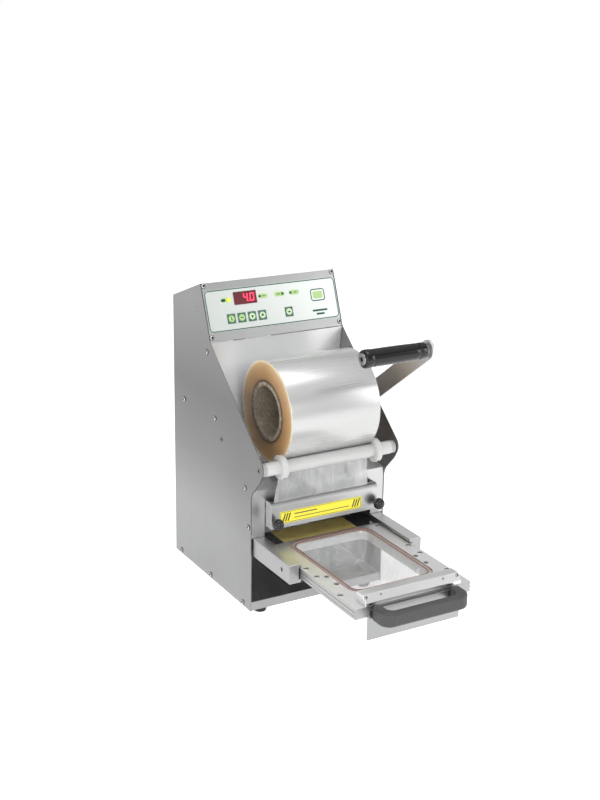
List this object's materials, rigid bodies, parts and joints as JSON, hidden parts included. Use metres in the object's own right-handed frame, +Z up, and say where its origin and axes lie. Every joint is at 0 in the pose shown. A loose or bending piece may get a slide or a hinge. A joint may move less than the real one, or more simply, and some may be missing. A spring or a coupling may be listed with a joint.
{
  "type": "tray sealing machine",
  "caption": "Bench-top manual heat sealer: steel housing with film roll bay, lever-driven heated head, and a pull-out drawer that holds a rimmed tray.",
  "frame": {"origin": "middle of the bounding box footprint, on the surface that the feet stand on; the housing's middle plane is at x = -0.005", "axes": "+X to the lever side, +Y to the back, +Z up"},
  "size_m": [0.2412, 0.5522, 0.4715],
  "materials": {
    "stainless": "brushed stainless sheet",
    "aluminium": "satin machined",
    "steel": "turned and ground",
    "spring_steel": "drawn wire",
    "overlay_foil": "printed foil, satin",
    "display_window": "tinted, polished",
    "key_pad": "domed printed foil",
    "film_roll": "wound clear film",
    "clear_film": "thin clear film",
    "card_core": "wound card",
    "white_acetal": "turned plastic",
    "black_gloss": "polished",
    "black_plastic": "moulded",
    "grey_plastic": "fine moulded grain",
    "rubber": "matte",
    "silicone": "matte",
    "clear_plastic": "clear, thermoformed",
    "dark_deck": "polished plate",
    "circuit_board": "solder mask"
  },
  "bodies": {
    "root": {"base_tray": "stainless", "left_side_panel": "stainless", "right_side_panel": "stainless", "rear_cover": "stainless", "control_fascia": "stainless", "control_overlay": "overlay_foil", "display_window": "display_window", "control_board": "circuit_board", "front_panel": "stainless", "bay_back_plate": "stainless", "film_web": "clear_film", "guide_column_left": "steel", "guide_column_right": "steel", "return_spring_left": "spring_steel", "return_spring_right": "spring_steel", "bearing_plate_left": "steel", "bearing_plate_right": "steel", "rail_left": "aluminium", "rail_right": "aluminium", "rail_liner_left": "black_plastic", "rail_liner_right": "black_plastic", "foot_front_left": "rubber", "foot_front_right": "rubber", "foot_rear_left": "rubber", "foot_rear_right": "rubber", "power_inlet": "black_plastic"},
    "film_roll": {"film_roll": "film_roll", "roll_core": "card_core"},
    "front_roller": {"front_roller": "white_acetal", "roller_collar_left": "white_acetal", "roller_collar_right": "white_acetal"},
    "rear_roller": {"rear_roller": "white_acetal"},
    "lever": {"lever_shaft": "steel", "lever_arm": "stainless", "grip_bolt": "steel", "pinion_left": "steel", "pinion_right": "steel"},
    "grip": {"lever_grip": "black_gloss"},
    "head": {"head_carriage": "aluminium", "heater_plate": "aluminium", "knife_frame": "steel", "head_cover": "stainless", "rack_left": "steel", "rack_right": "steel"},
    "pin_left": {"pull_pin_left": "steel", "pull_knob_left": "black_gloss"},
    "pin_right": {"pull_pin_right": "steel", "pull_knob_right": "black_gloss"},
    "drawer": {"mould_plate": "aluminium", "mould_gasket": "silicone", "food_tray": "clear_plastic", "deck_plate": "dark_deck", "front_bar": "aluminium", "skirt_plate": "stainless", "pull_handle": "grey_plastic"},
    "key_1": {"key_1": "key_pad"},
    "key_2": {"key_2": "key_pad"},
    "key_3": {"key_3": "key_pad"},
    "key_4": {"key_4": "key_pad"},
    "key_5": {"key_5": "key_pad"}
  },
  "joints": [
    {"name": "film_roll_spin", "type": "hinge", "parent": "root", "child": "film_roll", "pos_m": [-0.005, 0.04405, 0.30587], "axis": [1, 0, 0], "continuous": true},
    {"name": "front_roller_spin", "type": "hinge", "parent": "root", "child": "front_roller", "pos_m": [-0.005, -0.00895, 0.2384], "axis": [1, 0, 0], "continuous": true},
    {"name": "rear_roller_spin", "type": "hinge", "parent": "root", "child": "rear_roller", "pos_m": [-0.005, 0.10865, 0.2494], "axis": [1, 0, 0], "continuous": true},
    {"name": "lever_swing", "type": "hinge", "parent": "root", "child": "lever", "pos_m": [-0.005, 0.17455, 0.22], "axis": [1, 0, 0], "range_deg": [0, 48], "stiffness_Nm_per_rad": 3, "springref_deg": -57.3},
    {"name": "grip_spin", "type": "hinge", "parent": "lever", "child": "grip", "pos_m": [0.055, -0.07771, 0.4053], "axis": [1, 0, 0], "continuous": true},
    {"name": "head_slide", "type": "slide", "parent": "root", "child": "head", "axis": [0, 0, -1], "range_m": [0, 0.022], "deforming": ["return_spring_left", "return_spring_right"]},
    {"name": "pin_left_pull", "type": "slide", "parent": "head", "child": "pin_left", "axis": [0, -1, 0], "range_m": [0, 0.008], "stiffness_N_per_m": 300, "springref_m": -0.005},
    {"name": "pin_right_pull", "type": "slide", "parent": "head", "child": "pin_right", "axis": [0, -1, 0], "range_m": [0, 0.008], "stiffness_N_per_m": 300, "springref_m": -0.005},
    {"name": "drawer_slide", "type": "slide", "parent": "root", "child": "drawer", "axis": [0, 1, 0], "range_m": [0, 0.208]},
    {"name": "key_1_press", "type": "slide", "parent": "root", "child": "key_1", "axis": [0, 0.9323, -0.3616], "range_m": [0, 0.0005], "stiffness_N_per_m": 500, "springref_m": -0.0005},
    {"name": "key_2_press", "type": "slide", "parent": "root", "child": "key_2", "axis": [0, 0.9323, -0.3616], "range_m": [0, 0.0005], "stiffness_N_per_m": 500, "springref_m": -0.0005},
    {"name": "key_3_press", "type": "slide", "parent": "root", "child": "key_3", "axis": [0, 0.9323, -0.3616], "range_m": [0, 0.0005], "stiffness_N_per_m": 500, "springref_m": -0.0005},
    {"name": "key_4_press", "type": "slide", "parent": "root", "child": "key_4", "axis": [0, 0.9323, -0.3616], "range_m": [0, 0.0005], "stiffness_N_per_m": 500, "springref_m": -0.0005},
    {"name": "key_5_press", "type": "slide", "parent": "root", "child": "key_5", "axis": [0, 0.9323, -0.3616], "range_m": [0, 0.0005], "stiffness_N_per_m": 500, "springref_m": -0.0005}
  ],
  "couplings": [
    {"joint": "front_roller_spin", "follows": "film_roll_spin", "ratio": -7.55},
    {"joint": "rear_roller_spin", "follows": "film_roll_spin", "ratio": -7.55},
    {"joint": "head_slide", "follows": "lever_swing", "m_per_rad": 0.026}
  ]
}
